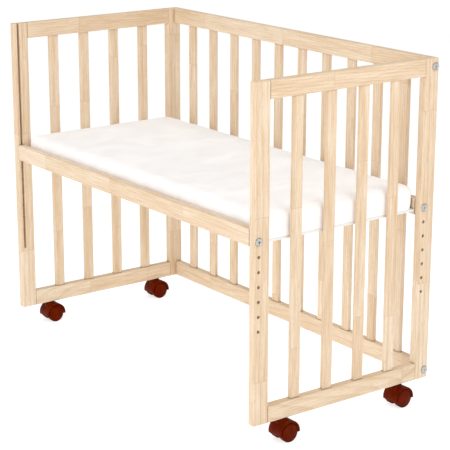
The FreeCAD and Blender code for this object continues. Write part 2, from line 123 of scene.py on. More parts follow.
def finish_material(tree: NodeTree, inputs: dict[str, Any]) -> None:
    """Ends a material in a Principled shader with the given inputs."""
    shader = add_node(tree, "BsdfPrincipled", inputs)
    add_node(tree, "OutputMaterial", {"Surface": shader.outputs["BSDF"]})


def set_ramp(node: Node, stops: list[tuple[float, tuple[float, ...]]]) -> None:
    """Puts the colour stops of a ramp node, in order."""
    elements = node.color_ramp.elements
    while len(elements) < len(stops):
        elements.new(1.0)
    for element, (place, colour) in zip(elements, stops):
        element.position = place
        element.color = colour


def dress(piece: Object, material: Material) -> None:
    """Gives a piece one material in place of those it has."""
    piece.data.materials.clear()
    piece.data.materials.append(material)


def new_piece(name: str, mesh: BMesh, material: Material) -> Object:
    """Turns a bmesh into a finished piece of the scene.

    Args:
        name: The piece's name.
        mesh: Its shape in metres, already in place; it is freed here.
        material: Its finish.

    Returns:
        The new object, at the origin.
    """
    bmesh.ops.remove_doubles(mesh, verts=mesh.verts, dist=WELD)
    bmesh.ops.recalc_face_normals(mesh, faces=mesh.faces)
    data = bpy.data.meshes.new(name)
    mesh.to_mesh(data)
    mesh.free()
    piece = bpy.data.objects.new(name, data)
    bpy.context.scene.collection.objects.link(piece)
    dress(piece, material)
    return piece


def shade_by_angle(piece: Object, degrees: float) -> None:
    """Shades a piece smooth, apart from edges sharper than an angle."""
    for polygon in piece.data.polygons:
        polygon.use_smooth = True
    piece.data.set_sharp_from_angle(angle=math.radians(degrees))


def spin_profile(mesh: BMesh, profile: list[tuple[float, float]], steps: int, centre: Vector,
                 axis: Vector) -> None:
    """Turns a profile a full turn about an axis into a shell, closed where its ends are on the axis.

    Args:
        mesh: The bmesh to add to.
        profile: Points as (distance along the axis, radius), in metres.
        steps: How many segments the turn has.
        centre: The point on the axis that distances start from.
        axis: The axis of the turn, a unit vector.
    """
    side = axis.orthogonal().normalized()
    points = [mesh.verts.new(centre + axis * along + side * radius) for along, radius in profile]
    edges = [mesh.edges.new(pair) for pair in zip(points, points[1:])]
    bmesh.ops.spin(mesh, geom=points + edges, cent=centre, axis=axis, angle=math.tau,
                   steps=steps, use_merge=True)


def arc_points(centre: tuple[float, float], radius: float, start: float, end: float,
               steps: int) -> list[tuple[float, float]]:
    """Points on an arc in a plane, with angles in degrees.

    Args:
        centre: The arc's centre.
        radius: Its radius.
        start: The angle of its first point.
        end: The angle of its last point.
        steps: How many segments it has.

    Returns:
        The points in order, both ends included.
    """
    angles = [math.radians(start + (end - start) * step / steps) for step in range(steps + 1)]
    return [(centre[0] + radius * math.cos(a), centre[1] + radius * math.sin(a)) for a in angles]


# ---- Finishes ----------------------------------------------------------------------------------


class Cut(Enum):
    """How a board was sawn: the rings' lean along the board, and their waves in metres."""

    STRAIGHT = (0.012, 0.003)
    CROWN = (0.085, 0.012)

    @property
    def lean(self) -> float:
        """How far the rings lean, per unit of length."""
        return self.value[0]

    @property
    def wave(self) -> float:
        """How far the rings wander."""
        return self.value[1]


@dataclass(frozen=True)
class GrainPlace:
    """Sockets that say where a point lies in a piece of finger-jointed timber."""

    wide: NodeSocket
    thin: NodeSocket
    along: NodeSocket
    count: NodeSocket     # glued lengths up to the point, with the fraction of its own
    chance: Any           # three random numbers of that length
    grain: NodeSocket     # the place in that length's grain


@dataclass(frozen=True)
class FingerJointedTimber:
    """Finger-jointed pale hardwood, planed and sanded, under a thin satin lacquer.

    The eye sees fine streaks and short flecks that run along the piece, faint arches where the
    saw cut across the growth rings, and short lengths glued end to end that differ in tone.
    """

    pale: str = "#F2E0C9"
    middle: str = "#E7CFB1"
    warm: str = "#D8B893"
    streak_line: str = "#BF9C74"
    roughness: float = 0.48
    block_mm: float = 300.0
    block_spread: tuple[float, float] = (0.8, 1.25)
    most_before: float = 9.0   # lengths before the origin, so that pieces don't start alike
    jump_m: tuple[float, float, float] = (0.7, 0.9, 1.3)   # how far a length's grain is shifted, at most
    finger_mm: float = 3.8
    finger_depth_mm: float = 9.0
    glue_mm: float = 1.6       # the lacquer's dark edge along the glue line, drawn wide enough to show
    glue_dark: float = 0.6
    ring_mm: float = 5.2
    heart_m: tuple[float, float] = (0.03, 0.06)            # how far a length's heart is moved, at most
    wander_per_m: tuple[float, float, float] = (14.0, 14.0, 5.0)
    # The share of dark late wood, from one ring's start to the next one's
    ring_stops: tuple[tuple[float, float], ...] = ((0.0, 0.1), (0.55, 0.3), (0.86, 1.0), (1.0, 0.1))
    streak_mm: float = 2.2
    streak_stretch: float = 26.0
    fleck_mm: float = 0.8      # real pores are finer; these still show across a room
    fleck_stretch: float = 16.0
    fleck_dark: float = 0.55
    cloud_mm: float = 16.0
    cloud_stretch: float = 9.0
    base_tone: float = -0.62
    ring_weight: float = 0.30
    streak_weight: float = 1.15
    cloud_weight: float = 0.60
    length_weight: float = 0.24
    # Painted shade, mixed into the colour where ambient occlusion finds inside corners, bores and joints
    painted_corner_shade: str = "#5A3C1F"
    painted_corner_reach_mm: float = 5.0
    painted_corner_dark: float = 0.85

    def find_place(self, tree: NodeTree, order: tuple[int, int, int], length: float,
                   before: float) -> GrainPlace:
        """Cuts the piece into lengths glued end to end, with a zigzag of fingers on the narrow faces.

        Args:
            tree: The material's nodes.
            order: The axes of the piece's width, thickness and length, as 0, 1 or 2.
            length: How long the glued lengths are, in metres.
            before: How many of them lie before the origin.

        Returns:
            The sockets of the place.
        """
        point = add_node(tree, "TexCoord").outputs["Object"]
        axes = add_node(tree, "SeparateXYZ", {0: point}).outputs
        wide, thin, along = (axes[index] for index in order)
        teeth = add_node(tree, "Math", {0: thin, 1: self.finger_mm * MM}, operation="PINGPONG").outputs[0]
        depth = self.finger_depth_mm / self.finger_mm
        stepped = add_node(tree, "Math", {0: teeth, 1: depth, 2: along},
                           operation="MULTIPLY_ADD").outputs[0]
        count = add_node(tree, "Math", {0: stepped, 1: 1 / length, 2: before},
                         operation="MULTIPLY_ADD").outputs[0]
        block = add_node(tree, "Math", {0: count}, operation="FLOOR").outputs[0]
        luck = add_node(tree, "TexWhiteNoise", {"W": block}, noise_dimensions="1D").outputs["Color"]
        chance = add_node(tree, "SeparateColor", {0: luck}).outputs
        local = add_node(tree, "CombineXYZ", {0: wide, 1: thin, 2: along}).outputs[0]
        grain = add_node(tree, "VectorMath", {0: luck, 1: self.jump_m, 2: local},
                         operation="MULTIPLY_ADD").outputs[0]
        return GrainPlace(wide, thin, along, count, chance, grain)

    def late_wood(self, tree: NodeTree, place: GrainPlace, cut: Cut) -> NodeSocket:
        """Draws growth rings round a heart that moves from length to length, a little askew and wavy.

        Args:
            tree: The material's nodes.
            place: Where a point lies.
            cut: How the rings lie in the piece.

        Returns:
            The share of dark late wood.
        """
        wander = add_node(tree, "Mapping", {"Vector": place.grain, "Scale": self.wander_per_m}).outputs[0]
        drift = add_node(tree, "TexNoise", {"Vector": wander, "Scale": 1.0, "Detail": 2.0}).outputs["Color"]
        drifts = add_node(tree, "SeparateColor", {0: drift}).outputs
        lean = add_node(tree, "MapRange", {0: place.chance[2], OUT_LOW: -cut.lean, OUT_HIGH: cut.lean})
        leaning = add_node(tree, "Math", {0: place.along, 1: lean.outputs[0], 2: place.thin},
                           operation="MULTIPLY_ADD").outputs[0]
        across = []
        for axis, start in enumerate((place.wide, leaning)):
            heart = add_node(tree, "Math", {0: place.chance[axis], 1: self.heart_m[axis], 2: start},
                             operation="MULTIPLY_ADD").outputs[0]
            across.append(add_node(tree, "Math", {0: drifts[axis], 1: cut.wave, 2: heart},
                                   operation="MULTIPLY_ADD").outputs[0])
        spread = add_node(tree, "CombineXYZ", {0: across[0], 1: across[1]}).outputs[0]
        reach = add_node(tree, "VectorMath", {0: spread}, operation="LENGTH").outputs["Value"]
        rings = add_node(tree, "Math", {0: reach, 1: 1 / (self.ring_mm * MM)}, operation="MULTIPLY")
        ring = add_node(tree, "Math", {0: rings.outputs[0]}, operation="FRACT").outputs[0]
        late = add_node(tree, "ValToRGB", {0: ring})
        set_ramp(late, [(stop, (share, share, share, 1.0)) for stop, share in self.ring_stops])
        return late.outputs[0]

    def grain_noise(self, tree: NodeTree, place: GrainPlace, width_mm: float, stretch: float,
                    detail: float) -> NodeSocket:
        """Makes noise that is drawn out along the grain.

        Args:
            tree: The material's nodes.
            place: Where a point lies.
            width_mm: How wide its spots are across the grain.
            stretch: How many times longer than wide they are.
            detail: How much finer noise lies on top.

        Returns:
            The noise, from 0 to 1.
        """
        scale = 1 / (width_mm * MM)
        cells = add_node(tree, "Mapping", {"Vector": place.grain, "Scale": (scale, scale, scale / stretch)})
        noise = add_node(tree, "TexNoise", {"Vector": cells.outputs[0], "Scale": 1.0, "Detail": detail})
        return noise.outputs["Fac"]

    def board_tone(self, tree: NodeTree, place: GrainPlace, cut: Cut) -> NodeSocket:
        """Tints the boards by their rings, streaks and clouds, and each glued length by itself.

        Args:
            tree: The material's nodes.
            place: Where a point lies.
            cut: How the rings lie in the piece.

        Returns:
            The colour.
        """
        streaks = self.grain_noise(tree, place, self.streak_mm, self.streak_stretch, detail=3.0)
        clouds = self.grain_noise(tree, place, self.cloud_mm, self.cloud_stretch, detail=1.0)
        shade = add_node(tree, "Math", {0: self.late_wood(tree, place, cut), 1: self.ring_weight,
                                        2: self.base_tone}, operation="MULTIPLY_ADD").outputs[0]
        for source, weight in ((streaks, self.streak_weight), (clouds, self.cloud_weight),
                               (place.chance[0], self.length_weight)):
            shade = add_node(tree, "Math", {0: source, 1: weight, 2: shade},
                             operation="MULTIPLY_ADD").outputs[0]
        tone = add_node(tree, "ValToRGB", {0: shade})
        set_ramp(tone, [(0.12, linear(self.pale)), (0.45, linear(self.middle)), (0.85, linear(self.warm))])
        return tone.outputs[0]

    def material(self, name: str, order: tuple[int, int, int], cut: Cut, seed: int) -> Material:
        """Builds the finish for one piece.

        Args:
            name: The material's name.
            order: The axes of the piece's width, thickness and length, as 0, 1 or 2.
            cut: How the growth rings lie in the piece.
            seed: Picks the piece's own boards.

        Returns:
            The material.
        """
        draw = random.Random(seed)
        length = self.block_mm * MM * draw.uniform(*self.block_spread)
        material, tree = start_material(name)
        place = self.find_place(tree, order, length, draw.uniform(0, self.most_before))
        colour = self.board_tone(tree, place, cut)

        flecks = self.grain_noise(tree, place, self.fleck_mm, self.fleck_stretch, detail=1.0)
        pores = add_node(tree, "MapRange", {0: flecks, IN_LOW: 0.60, IN_HIGH: 0.74, OUT_LOW: 0.0,
                                            OUT_HIGH: self.fleck_dark})
        glued = add_node(tree, "Math", {0: place.count}, operation="FRACT").outputs[0]
        seam = add_node(tree, "MapRange", {0: glued, IN_LOW: 0.0, IN_HIGH: self.glue_mm * MM / length,
                                           OUT_LOW: self.glue_dark, OUT_HIGH: 0.0})
        # Painted shade: inside corners, bores and the joints between pieces are darkened where ambient
        # occlusion finds other surfaces close by
        open_sky = add_node(tree, "AmbientOcclusion", {"Distance": self.painted_corner_reach_mm * MM}, samples=8)
        corners = add_node(tree, "MapRange", {0: open_sky.outputs["AO"], IN_LOW: 0.2, IN_HIGH: 0.92,
                                              OUT_LOW: self.painted_corner_dark, OUT_HIGH: 0.0})
        layers = ((pores, self.streak_line), (seam, self.streak_line), (corners, self.painted_corner_shade))
        for dark, shade in layers:
            colour = add_node(tree, "Mix", {"Factor": dark.outputs[0], SIDE_A: colour,
                                            SIDE_B: linear(shade)}, data_type="RGBA").outputs[MIXED]
        bump = add_node(tree, "Bump", {"Height": flecks, "Strength": 0.25, "Distance": FINE_RELIEF})
        finish_material(tree, {"Base Color": colour, "Roughness": self.roughness, "IOR": 1.5,
                               "Normal": bump.outputs[0]})
        return material


@dataclass(frozen=True)
class ZincPlate:
    """Bright zinc plate on turned steel: pale grey metal with fine turning marks."""

    colour: str = "#C2C2BF"
    roughness: float = 0.34
    smoother: float = 0.06
    rougher: float = 0.10
    mark_mm: float = 0.6

    def material(self, name: str) -> Material:
        """Builds the finish and returns it."""
        material, tree = start_material(name)
        place = add_node(tree, "TexCoord").outputs["Object"]
        marks = add_node(tree, "TexNoise", {"Vector": place, "Scale": 1 / (self.mark_mm * MM),
                                            "Detail": 2.0}).outputs["Fac"]
        rough = add_node(tree, "MapRange", {0: marks, OUT_LOW: self.roughness - self.smoother,
                                            OUT_HIGH: self.roughness + self.rougher})
        finish_material(tree, {"Base Color": linear(self.colour), "Metallic": 1.0,
                               "Roughness": rough.outputs[0]})
        return material


@dataclass(frozen=True)
class WhiteBoard:
    """Thin fibreboard with a smooth white coat that has a trace of orange peel in its sheen."""

    colour: str = "#F1F1EE"
    shade: str = "#ECECE8"
    roughness: float = 0.40
    peel_mm: float = 2.5

    def material(self, name: str) -> Material:
        """Builds the finish and returns it."""
        material, tree = start_material(name)
        place = add_node(tree, "TexCoord").outputs["Object"]
        peel = add_node(tree, "TexNoise", {"Vector": place, "Scale": 1 / (self.peel_mm * MM),
                                           "Detail": 1.0}).outputs["Fac"]
        tone = add_node(tree, "ValToRGB", {0: peel})
        set_ramp(tone, [(0.3, linear(self.shade)), (0.7, linear(self.colour))])
        bump = add_node(tree, "Bump", {"Height": peel, "Strength": 0.15, "Distance": FINE_RELIEF})
        finish_material(tree, {"Base Color": tone.outputs[0], "Roughness": self.roughness, "IOR": 1.5,
                               "Normal": bump.outputs[0]})
        return material


@dataclass(frozen=True)
class CoverCloth:
    """Close-woven white polyester cover with a thin coat: a fine weave, soft pulls whose bumps catch light
    and whose tone is painted sheen, and a faint painted glow.
    """

    colour: str = "#FFFDFA"
    shade: str = "#F6F2EF"
    thread_mm: float = 0.9     # real threads are about 0.3 mm; drawn coarser so that they show
    pull_mm: float = 55.0
    pull_stretch: float = 1.7
    pull_swirl: float = 0.9
    ripple_mm: float = 0.4
    roughness: float = 0.5
    painted_glow: float = 0.12
    painted_glow_tint: str = "#E8F0FF"

    def material(self, name: str) -> Material:
        """Builds the finish and returns it."""
        material, tree = start_material(name)
        place = add_node(tree, "TexCoord").outputs["Object"]
        across = 1 / (self.pull_mm * MM)
        scale = (across, across / self.pull_stretch, across)
        drawn = add_node(tree, "Mapping", {"Vector": place, "Scale": scale}).outputs[0]
        pull = add_node(tree, "TexNoise", {"Vector": drawn, "Scale": 1.0, "Detail": 3.0,
                                           "Distortion": self.pull_swirl}).outputs["Fac"]
        # Painted sheen: the pulls' tone, from shade to colour, stands in for glossy mottles on the cover;
        # the bump beneath catches the real light
        tone = add_node(tree, "ValToRGB", {0: pull})
        set_ramp(tone, [(0.40, linear(self.shade)), (0.68, linear(self.colour))])
        rippled = add_node(tree, "Bump", {"Height": pull, "Strength": 1.0, "Distance": self.ripple_mm * MM})

        # Threads that go over and under each other, as waves along the three axes
        turn = math.pi / (self.thread_mm * MM)
        wave = add_node(tree, "VectorMath", {0: place, 1: (turn, turn, turn)}, operation="MULTIPLY")
        swing = add_node(tree, "VectorMath", {0: wave.outputs[0]}, operation="SINE")
        parts = add_node(tree, "SeparateXYZ", {0: swing.outputs[0]}).outputs
        weave = add_node(tree, "Math", {0: parts[0], 1: parts[1]}, operation="MULTIPLY").outputs[0]
        weave = add_node(tree, "Math", {0: parts[2], 1: 0.5, 2: weave}, operation="MULTIPLY_ADD").outputs[0]
        bump = add_node(tree, "Bump", {"Height": weave, "Strength": 0.2, "Distance": FINE_RELIEF,
                                       "Normal": rippled.outputs[0]})
        # Painted light: the cover glows a faint blue of its own, which lifts its white whatever the lamps
        # give
        finish_material(tree, {"Base Color": tone.outputs[0], "Roughness": self.roughness, "IOR": 1.45,
                               "Sheen Weight": 0.1, "Normal": bump.outputs[0],
                               "Emission Color": linear(self.painted_glow_tint),
                               "Emission Strength": self.painted_glow})
        return material


@dataclass(frozen=True)
class BrownNylon:
    """Injection-moulded nylon in a dark red-brown, with a soft gloss; painted shade turns its gaps almost
    black.
    """

    colour: str = "#661B01"
    deep: str = "#581401"
    painted_gap_shade: str = "#1A0301"
    sheen: str = "#FF7A3A"
    shine: float = 0.07
    roughness: float = 0.36
    smoother: float = 0.04
    rougher: float = 0.06
    flow_mm: float = 14.0
    painted_gap_reach_mm: float = 9.0
    painted_gap_dark: float = 0.9

    def material(self, name: str) -> Material:
        """Builds the finish and returns it."""
        material, tree = start_material(name)
        place = add_node(tree, "TexCoord").outputs["Object"]
        flow = add_node(tree, "TexNoise", {"Vector": place, "Scale": 1 / (self.flow_mm * MM),
                                           "Detail": 2.0}).outputs["Fac"]
        tone = add_node(tree, "ValToRGB", {0: flow})
        set_ramp(tone, [(0.35, linear(self.deep)), (0.65, linear(self.colour))])
        rough = add_node(tree, "MapRange", {0: flow, OUT_LOW: self.roughness - self.smoother,
                                            OUT_HIGH: self.roughness + self.rougher})
        # Painted shade: gaps, and faces that lie close under other parts, are darkened where ambient
        # occlusion finds them
        open_sky = add_node(tree, "AmbientOcclusion", {"Distance": self.painted_gap_reach_mm * MM}, samples=8)
        gaps = add_node(tree, "MapRange", {0: open_sky.outputs["AO"], IN_LOW: 0.25, IN_HIGH: 0.85,
                                           OUT_LOW: self.painted_gap_dark, OUT_HIGH: 0.0})
        mixed = add_node(tree, "Mix", {"Factor": gaps.outputs[0], SIDE_A: tone.outputs[0],
                                       SIDE_B: linear(self.painted_gap_shade)}, data_type="RGBA")
        finish_material(tree, {"Base Color": mixed.outputs[MIXED], "Roughness": rough.outputs[0],
                               "IOR": 1.53, "Specular IOR Level": self.shine,
                               "Specular Tint": linear(self.sheen)})
        return material


# ---- Sub-assemblies ----------------------------------------------------------------------------


class Side(Enum):
    """Which end of the crib a piece belongs to, as the sign of its X."""

    LEFT = -1
    RIGHT = 1


class Depth(Enum):
    """Which long side of the crib a piece belongs to, as the sign of its Y."""

    FRONT = -1
    BACK = 1


def nodes_in_slot(slot: str) -> list[str]:
    """Names of the CAD nodes that the record gives a material slot."""
    return [entry["node"] for entry in frame["record"]["subparts"] if entry["material_slot"] == slot]


def middle_of(name: str) -> Vector:
    """The middle of a CAD node's box."""
    low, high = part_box(name)
    return (low + high) / 2


@dataclass
class TimberFrame:
    """The end panels, the back panel and the base's rails: CAD pieces in timber."""

    finish: FingerJointedTimber = field(default_factory=FingerJointedTimber)

    def order_of(self, name: str) -> tuple[int, int, int]:
        """Axes of a node's width, thickness and length, from its box."""
        low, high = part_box(name)
        thin, wide, along = sorted(range(3), key=lambda axis: high[axis] - low[axis])
        return wide, thin, along

    def build(self) -> None:
        """Dresses each timber node as boards of its own."""
        names = sorted(nodes_in_slot("timber"))
        for seed, name in enumerate(names):
            cut = Cut.CROWN if name.endswith("rail") else Cut.STRAIGHT
            boards = self.finish.material(f"timber_{name}", self.order_of(name), cut, seed)
            dress(frame["nodes"][name], boards)
        log.info("timber: %d pieces", len(names))


@dataclass
class PlainPieces:
    """The base panel, stems and axles, which keep their CAD shapes."""

    def build(self) -> None:
        """Dresses the board and the plain steel."""
        board = WhiteBoard().material("white_board")
        for name in nodes_in_slot("white_board"):
            dress(frame["nodes"][name], board)
        steel = ZincPlate().material("plain_steel")
        for name in nodes_in_slot("zinc_steel"):
            dress(frame["nodes"][name], steel)
        log.info("plain pieces dressed")


@dataclass
class ConnectorBolts:
    """Connector bolts with low wide heads and hexagon sockets, in place of the CAD ones."""

    node: str
    body: str
    places: list[tuple[Side, float, float]]
    steel: Material
    socket: Material
    face_x: float = 0.468
    hexagon: float = 4 * MM
    socket_depth: float = 1.5 * MM
    segments: int = 40
    # Distance out from the post's face and radius, from the shank's tip to the socket's mouth
    profile_mm: tuple[tuple[float, float], ...] = (
        (-60.0, 0.0), (-60.0, 2.3), (-59.3, 3.0), (0.1, 3.0), (0.1, 7.8), (0.45, 8.2), (1.3, 8.2),
        (2.0, 8.0), (2.5, 7.5), (2.7, 6.9), (2.65, 6.3), (2.0, 5.6), (1.75, 5.2), (1.75, 2.9),
    )

    def add_bolt(self, mesh: BMesh, side: Side, along: float, up: float) -> None:
        """Adds one bolt.

        Args:
            mesh: The bmesh to add to.
            side: The end panel that its head lies on.
            along: Its Y.
            up: Its Z.
        """
        bolt = bmesh.new()
        foot = Vector((side.value * self.face_x, along, up))
        out = Vector((side.value, 0, 0))
        profile = [(distance * MM, radius * MM) for distance, radius in self.profile_mm]
        spin_profile(bolt, profile, self.segments, foot, out)
        bmesh.ops.remove_doubles(bolt, verts=bolt.verts, dist=WELD)
        mouth = [edge for edge in bolt.edges if edge.is_boundary]
        turn = Vector((0, 0, 1)).rotation_difference(out).to_matrix().to_4x4()
        rim = foot + out * profile[-1][0]
        ring = bmesh.ops.create_circle(bolt, segments=6, radius=self.hexagon / math.sqrt(3),
                                       matrix=Matrix.Translation(rim) @ turn)["verts"]
        hexagon = list({edge for vert in ring for edge in vert.link_edges})
        bmesh.ops.bridge_loops(bolt, edges=mouth + hexagon)
        sunk = bmesh.ops.extrude_edge_only(bolt, edges=hexagon)["geom"]
        lowered = [item for item in sunk if isinstance(item, BMVert)]
        bmesh.ops.translate(bolt, verts=lowered, vec=-out * self.socket_depth)
        floor = [item for item in sunk if isinstance(item, BMEdge)
                 and item.verts[0] in lowered and item.verts[1] in lowered]
        bottom = bmesh.ops.edgeloop_fill(bolt, edges=floor)["faces"]
        # The socket's walls and floor take the second material: painted shade, darker than the zinc round
        # them
        for face in bottom + [item for item in sunk if isinstance(item, BMFace)]:
            face.material_index = 1
        data = bpy.data.meshes.new("one_bolt")
        bolt.to_mesh(data)
        bolt.free()
        mesh.from_mesh(data)
        bpy.data.meshes.remove(data)

    def build(self) -> None:
        """Makes the group of bolts that stands for the CAD node."""
        mesh = bmesh.new()
        for side, along, up in self.places:
            self.add_bolt(mesh, side, along, up)
        piece = new_piece(self.node + "_detailed", mesh, self.steel)
        piece.data.materials.append(self.socket)
        shade_by_angle(piece, 32)
        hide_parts(self.node)
        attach(piece, self.body)
        log.info("%s: %d bolts", self.node, len(self.places))


@dataclass
class SmallFasteners:
    """Screws under the base panel and the barrel nuts' ends in the back panel's rails."""

    steel: Material
    screw_x: tuple[float, ...] = (-0.35, -0.21, -0.07, 0.07, 0.21, 0.35)
    screw_y: float = -0.2215
    screw_radius: float = 3.3 * MM
    screw_height: float = 1.7 * MM
    nut_x: float = 0.420
    nut_radius: float = 4.95 * MM
    nut_thick: float = 1.45 * MM
    nut_sunk: float = 1.2 * MM
    slot_width: float = 1.2 * MM

    def build_screws(self) -> None:
        """Makes the pan-head screws that hold the panel to the front rail."""
        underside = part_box("base_panel")[0].z
        dome = [(self.screw_height * math.sin(math.radians(angle)),
                 self.screw_radius * math.cos(math.radians(angle))) for angle in (20, 40, 60, 75)]
        profile = [(0.0, 0.0), (0.0, self.screw_radius), *dome, (self.screw_height, 0.0)]
        mesh = bmesh.new()
        for across in self.screw_x:
            place = Vector((across, self.screw_y, underside))
            spin_profile(mesh, profile, 20, place, Vector((0, 0, -1)))
        piece = new_piece("base_panel_screws", mesh, self.steel)
        shade_by_angle(piece, 40)
        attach(piece, "base")

    def build_nut_ends(self) -> None:
        """Makes the barrel nuts' flush ends, each with a screwdriver slot."""
        mesh = bmesh.new()
        back_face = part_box("back_top_rail")[1].y
        for rail in ("back_top_rail", "back_bottom_rail"):
            for side in Side:
                place = Vector((side.value * self.nut_x, back_face - self.nut_sunk, middle_of(rail).z))
                for half in (-1, 1):
                    self.add_half_disc(mesh, place, half)
        piece = new_piece("barrel_nut_ends", mesh, self.steel)
        shade_by_angle(piece, 32)
        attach(piece, "frame")

    def add_half_disc(self, mesh: BMesh, place: Vector, half: int) -> None:
        """Adds one half of a nut's end, on one side of the slot.

        Args:
            mesh: The bmesh to add to.
            place: The middle of the whole end's inner face.
            half: 1 for the upper half, -1 for the lower.
        """
        points = [Vector((x, 0, max(y, self.slot_width / 2) * half))
                  for x, y in arc_points((0.0, 0.0), self.nut_radius, 5, 175, 18)]
        face = mesh.faces.new([mesh.verts.new(place + point) for point in points])
        grown = bmesh.ops.extrude_face_region(mesh, geom=[face])["geom"]
        moved = [item for item in grown if isinstance(item, BMVert)]
        bmesh.ops.translate(mesh, verts=moved, vec=Vector((0, self.nut_thick, 0)))

    def build(self) -> None:
        """Makes both kinds."""
        self.build_screws()
        self.build_nut_ends()
        log.info("small fasteners made")


@dataclass
class TwinWheelCastor:
    """A moulded castor: an arched hood on a stem, with a domed wheel on each side of its web."""

    depth: Depth
    side: Side
    nylon: Material
    hood_radius: float = 25.5 * MM
    bay_radius: float = 21.0 * MM
    hood_shift: float = 1.0 * MM
    half_width: float = 20.3 * MM
    half_web: float = 8.0 * MM
    nose_drop: float = 2.5 * MM
    tail_drop: float = 5.0 * MM
    web_hub: float = 9.0 * MM
    rim_round: float = 1.8 * MM
    # Height above the floor and radius of the boss, from inside the hood to its top
    boss_mm: tuple[tuple[float, float], ...] = (
        (36.0, 0.0), (36.0, 13.0), (43.2, 13.0), (44.4, 12.3), (45.6, 11.5), (48.4, 10.9), (49.0, 10.6),
        (49.2, 10.0), (49.2, 0.0),
    )
    # Distance out from the castor's middle and radius of the wheel, from its inner to its outer face
    wheel_mm: tuple[tuple[float, float], ...] = (
        (8.5, 0.0), (8.5, 5.2), (9.7, 5.8), (9.7, 16.6), (8.6, 17.2), (8.4, 18.9), (8.7, 19.6), (9.4, 20.0),
        (19.2, 20.0), (19.9, 19.7), (20.25, 19.0), (20.3, 18.5), (19.9, 18.3), (19.9, 17.9), (20.35, 17.7),
        (20.75, 14.5), (21.05, 11.0), (21.3, 7.5), (21.45, 4.0), (21.5, 0.0),
    )

    @property
    def corner(self) -> str:
        """The start of this castor's node names."""
        return f"{self.depth.name.lower()}_{self.side.name.lower()}"

    @property
    def wheel_centre(self) -> Vector:
        """The middle of the axle."""
        return middle_of(f"{self.corner}_castor_axle")

    def extrude_along_x(self, mesh: BMesh, faces: list[BMFace], distance: float) -> list[BMFace]:
        """Draws faces out along X.

        Args:
            mesh: The bmesh that holds them.
            faces: The faces.
            distance: How far they go, with its sign.

        Returns:
            The faces at the far end.
        """
        grown = bmesh.ops.extrude_face_region(mesh, geom=faces)["geom"]
        moved = [item for item in grown if isinstance(item, BMVert)]
        bmesh.ops.translate(mesh, verts=moved, vec=Vector((distance, 0, 0)))
        return [item for item in grown if isinstance(item, BMFace)]

    def hood_arc(self) -> list[tuple[float, float]]:
        """The hood's outer arc from its nose over the top to its tail."""
        nose = math.degrees(math.asin(self.nose_drop / self.hood_radius))
        tail = math.degrees(math.asin(self.tail_drop / self.hood_radius))
        return arc_points((self.hood_shift, 0.0), self.hood_radius, -nose, 180 + tail, 44)

    def build_hood(self) -> None:
        """Makes the hood: a cover over each wheel, the web between them and the boss."""
        nose = math.degrees(math.asin(self.nose_drop / self.bay_radius))
        tail = math.degrees(math.asin(self.tail_drop / self.bay_radius))
        hub, under = self.web_hub, -self.web_hub
        foot_points = [(hub, -self.nose_drop), (hub, under), (-hub, under), (-hub, -self.tail_drop)]

        # The web's side is two faces that share the bay's arc; the cover's face then grows both ways
        mesh = bmesh.new()
        near_side = self.wheel_centre - Vector((self.half_web, 0, 0))
        outer, inner, foot_line = (
            [mesh.verts.new(near_side + Vector((0, y, z))) for y, z in points]
            for points in (self.hood_arc(), arc_points((0.0, 0.0), self.bay_radius, 180 + tail, -nose, 40),
                           foot_points))
        cover = mesh.faces.new(outer + inner)
        bay = mesh.faces.new(inner + foot_line)
        far_sides = self.extrude_along_x(mesh, [cover, bay], 2 * self.half_web)
        far_cover = max(far_sides, key=lambda face: len(face.verts))
        self.extrude_along_x(mesh, [cover], self.half_web - self.half_width)
        self.extrude_along_x(mesh, [far_cover], self.half_width - self.half_web)
        # Both of these faces now lie inside the hood
        bmesh.ops.delete(mesh, geom=[cover, far_cover], context="FACES_ONLY")
        middle = self.wheel_centre.x
        rims = [edge for edge in mesh.edges
                if all(abs(abs(vert.co.x - middle) - self.half_width) < ON_PLANE for vert in edge.verts)]
        bmesh.ops.bevel(mesh, geom=rims, offset=self.rim_round, segments=4, profile=0.5, affect="EDGES",
                        material=-1, clamp_overlap=True)
        foot = Vector((middle_of(f"{self.corner}_castor_hood").x, self.depth.value * STEM_Y, 0.0))
        boss = [(height * MM, radius * MM) for height, radius in self.boss_mm]
        spin_profile(mesh, boss, 48, foot, Vector((0, 0, 1)))
        piece = new_piece(f"{self.corner}_hood_detailed", mesh, self.nylon)
        shade_by_angle(piece, 35)
        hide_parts(f"{self.corner}_castor_hood")
        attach(piece, f"{self.corner}_castor")

    def build_wheel(self, label: str, facing: int) -> None:
        """Makes one wheel.

        Args:
            label: "outer" or "inner", as in its node's name.
            facing: The sign of X that its domed face looks along.
        """
        mesh = bmesh.new()
        profile = [(distance * MM, radius * MM) for distance, radius in self.wheel_mm]
        spin_profile(mesh, profile, 64, self.wheel_centre, Vector((facing, 0, 0)))
        piece = new_piece(f"{self.corner}_{label}_wheel_detailed", mesh, self.nylon)
        shade_by_angle(piece, 35)
        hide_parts(f"{self.corner}_{label}_wheel")
        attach(piece, f"{self.corner}_{label}_wheel")

    def build(self) -> None:
        """Makes the hood and both wheels."""
        self.build_hood()
        self.build_wheel("outer", self.side.value)
        self.build_wheel("inner", -self.side.value)
        log.info("%s castor made", self.corner)


